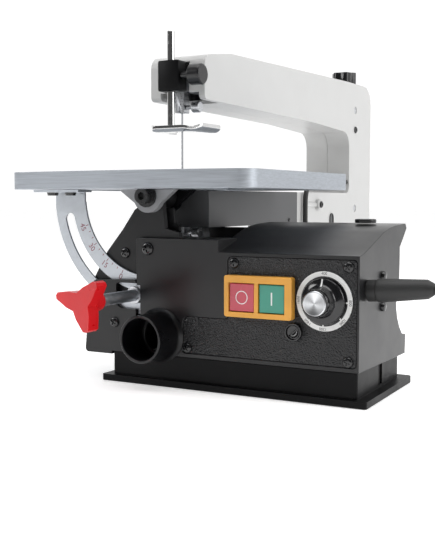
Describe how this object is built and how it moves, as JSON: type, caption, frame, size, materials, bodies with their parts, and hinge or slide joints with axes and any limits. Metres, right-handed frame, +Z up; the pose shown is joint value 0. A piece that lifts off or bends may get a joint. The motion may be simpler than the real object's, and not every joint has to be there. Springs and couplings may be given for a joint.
{
  "type": "scroll saw",
  "caption": "Bench scroll saw: white C-frame, tilting aluminium table with bevel scale, black moulded control housing with switch and speed dial, dust port and mains lead.",
  "frame": {"origin": "bottom centre of the saw without its mains lead, on the underside of the base", "axes": "+X to the operator's right, +Y from the front to the back, +Z up"},
  "size_m": [0.6094, 0.663, 0.38],
  "materials": {
    "base": "satin black paint",
    "housing": "satin black moulding",
    "control_panel": "pebble-grain black moulding",
    "panel_screw_1": "black oxide",
    "panel_screw_2": "black oxide",
    "panel_screw_3": "black oxide",
    "panel_screw_4": "black oxide",
    "housing_screw": "black oxide",
    "housing_cap": "black moulding",
    "switch_frame": "amber moulding",
    "stop_button": "red gloss",
    "start_button": "green gloss",
    "dial_scale": "white printed disc",
    "speed_knob": "satin black moulding",
    "knob_cap": "spun aluminium",
    "fuse_cap": "black moulding",
    "dust_port": "satin black moulding",
    "cord_boot": "moulded rubber",
    "circuit_board": "solder-mask green",
    "motor": "zinc-plated can",
    "crank_shaft": "ground steel",
    "drive_link": "die cast",
    "lower_arm": "die cast",
    "upper_arm": "die cast",
    "lower_pivot_pin": "ground steel",
    "upper_pivot_pin": "ground steel",
    "tension_rod": "plated steel",
    "tension_knob": "black moulding",
    "blade": "hardened steel",
    "upper_blade_clamp": "plated steel",
    "lower_blade_clamp": "plated steel",
    "upper_thumbscrew": "plated steel",
    "lower_thumbscrew": "plated steel",
    "lower_arm_cover": "satin black moulding",
    "blower_bellows": "rubber",
    "blower_hose": "rubber",
    "frame_left": "white paint on cast aluminium",
    "frame_right": "white paint on cast aluminium",
    "trunnion_bracket": "satin black paint",
    "clamp_plate": "satin black moulding",
    "scale_quadrant": "satin zinc casting",
    "quadrant_screw_1": "black oxide",
    "quadrant_screw_2": "black oxide",
    "pivot_lug_front": "cast",
    "pivot_lug_rear": "cast",
    "pivot_bolt": "black oxide",
    "clamp_knob": "moulded red",
    "clamp_bolt": "zinc plated",
    "clamp_spacer": "zinc plated",
    "clamp_washer": "zinc plated",
    "table": "ground and brushed",
    "table_insert": "black moulding",
    "hold_down_guide": "satin black paint",
    "hold_down_rod": "chrome",
    "hold_down_foot": "chrome",
    "hold_down_knob": "black moulding",
    "cord": "rubber sheath",
    "cord_coil": "rubber sheath",
    "plug": "moulded rubber"
  },
  "bodies": {
    "frame": {"base": "base", "housing": "housing", "control_panel": "control_panel", "panel_screw_1": "panel_screw_1", "panel_screw_2": "panel_screw_2", "panel_screw_3": "panel_screw_3", "panel_screw_4": "panel_screw_4", "housing_screw": "housing_screw", "housing_cap": "housing_cap", "switch_frame": "switch_frame", "dial_scale": "dial_scale", "dust_port": "dust_port", "cord_boot": "cord_boot", "circuit_board": "circuit_board", "motor": "motor", "lower_pivot_pin": "lower_pivot_pin", "upper_pivot_pin": "upper_pivot_pin", "lower_arm_cover": "lower_arm_cover", "blower_bellows": "blower_bellows", "blower_hose": "blower_hose", "frame_left": "frame_left", "frame_right": "frame_right", "trunnion_bracket": "trunnion_bracket", "clamp_plate": "clamp_plate", "pivot_bolt": "pivot_bolt", "clamp_spacer": "clamp_spacer", "clamp_washer": "clamp_washer", "hold_down_guide": "hold_down_guide", "cord": "cord", "cord_coil": "cord_coil", "plug": "plug"},
    "table_assembly": {"table": "table", "table_insert": "table_insert", "pivot_lug_front": "pivot_lug_front", "pivot_lug_rear": "pivot_lug_rear", "scale_quadrant": "scale_quadrant", "quadrant_screw_1": "quadrant_screw_1", "quadrant_screw_2": "quadrant_screw_2"},
    "bevel_clamp": {"clamp_knob": "clamp_knob", "clamp_bolt": "clamp_bolt"},
    "lower_rocker": {"lower_arm": "lower_arm"},
    "upper_rocker": {"upper_arm": "upper_arm"},
    "blade_carrier": {"blade": "blade", "upper_blade_clamp": "upper_blade_clamp", "lower_blade_clamp": "lower_blade_clamp"},
    "upper_clamp_screw": {"upper_thumbscrew": "upper_thumbscrew"},
    "lower_clamp_screw": {"lower_thumbscrew": "lower_thumbscrew"},
    "link": {"drive_link": "drive_link"},
    "crank": {"crank_shaft": "crank_shaft"},
    "tensioner": {"tension_rod": "tension_rod"},
    "tensioner_knob": {"tension_knob": "tension_knob"},
    "stop_push": {"stop_button": "stop_button"},
    "start_push": {"start_button": "start_button"},
    "speed_dial": {"speed_knob": "speed_knob", "knob_cap": "knob_cap"},
    "fuse": {"fuse_cap": "fuse_cap"},
    "hold_down": {"hold_down_rod": "hold_down_rod", "hold_down_foot": "hold_down_foot"},
    "hold_down_lock": {"hold_down_knob": "hold_down_knob"}
  },
  "joints": [
    {"name": "table_tilt", "type": "hinge", "parent": "frame", "child": "table_assembly", "pos_m": [-0.07323, -0.2465, 0.194], "axis": [0, -1, 0], "range_deg": [0, 45]},
    {"name": "bevel_clamp_turn", "type": "hinge", "parent": "frame", "child": "bevel_clamp", "pos_m": [-0.09323, -0.3125, 0.091], "axis": [0, -1, 0], "range_deg": [-540, 0]},
    {"name": "lower_arm_rock", "type": "hinge", "parent": "frame", "child": "lower_rocker", "pos_m": [-0.07323, 0.2535, 0.178], "axis": [1, 0, 0], "range_deg": [-0.8, 0.8]},
    {"name": "upper_arm_rock", "type": "hinge", "parent": "frame", "child": "upper_rocker", "pos_m": [-0.07323, 0.2535, 0.32], "axis": [1, 0, 0], "range_deg": [-0.8, 0.8]},
    {"name": "blade_stroke", "type": "slide", "parent": "frame", "child": "blade_carrier", "axis": [0, 0, 1], "range_m": [-0.00597, 0.00597]},
    {"name": "link_stroke", "type": "slide", "parent": "frame", "child": "link", "axis": [0, 0, 1], "range_m": [-0.00573, 0.00573]},
    {"name": "tension_rod_stroke", "type": "slide", "parent": "frame", "child": "tensioner", "axis": [0, 0, 1], "range_m": [-0.00056, 0.00056]},
    {"name": "crank_spin", "type": "hinge", "parent": "frame", "child": "crank", "pos_m": [-0.04373, -0.1625, 0.128], "axis": [1, 0, 0], "continuous": true},
    {"name": "tension_knob_turn", "type": "hinge", "parent": "tensioner", "child": "tensioner_knob", "pos_m": [-0.07323, 0.2935, 0.36], "axis": [0, 0, 1], "range_deg": [-360, 360]},
    {"name": "upper_thumbscrew_turn", "type": "hinge", "parent": "blade_carrier", "child": "upper_clamp_screw", "pos_m": [-0.06733, -0.174, 0.289], "axis": [1, 0, 0], "range_deg": [0, 720]},
    {"name": "lower_thumbscrew_turn", "type": "hinge", "parent": "blade_carrier", "child": "lower_clamp_screw", "pos_m": [-0.06733, -0.174, 0.156], "axis": [1, 0, 0], "range_deg": [0, 720]},
    {"name": "stop_press", "type": "slide", "parent": "frame", "child": "stop_push", "axis": [0, 1, 0], "range_m": [0, 0.003], "stiffness_N_per_m": 800},
    {"name": "start_press", "type": "slide", "parent": "frame", "child": "start_push", "axis": [0, 1, 0], "range_m": [0, 0.003], "stiffness_N_per_m": 800},
    {"name": "speed_turn", "type": "hinge", "parent": "frame", "child": "speed_dial", "pos_m": [0.12157, -0.2425, 0.0963], "axis": [0, 1, 0], "range_deg": [0, 270]},
    {"name": "fuse_cap_turn", "type": "hinge", "parent": "frame", "child": "fuse", "pos_m": [0.09147, -0.2415, 0.0655], "axis": [0, -1, 0], "range_deg": [0, 90]},
    {"name": "hold_down_height", "type": "slide", "parent": "frame", "child": "hold_down", "axis": [0, 0, 1], "range_m": [-0.038, 0.01]},
    {"name": "hold_down_lock_turn", "type": "hinge", "parent": "frame", "child": "hold_down_lock", "pos_m": [-0.05983, -0.1965, 0.32], "axis": [1, 0, 0], "range_deg": [0, 540]}
  ],
  "couplings": [
    {"joint": "upper_arm_rock", "follows": "lower_arm_rock", "ratio": 1},
    {"joint": "blade_stroke", "follows": "lower_arm_rock", "m_per_rad": -0.4275},
    {"joint": "link_stroke", "follows": "lower_arm_rock", "m_per_rad": -0.41},
    {"joint": "tension_rod_stroke", "follows": "lower_arm_rock", "m_per_rad": 0.04}
  ]
}
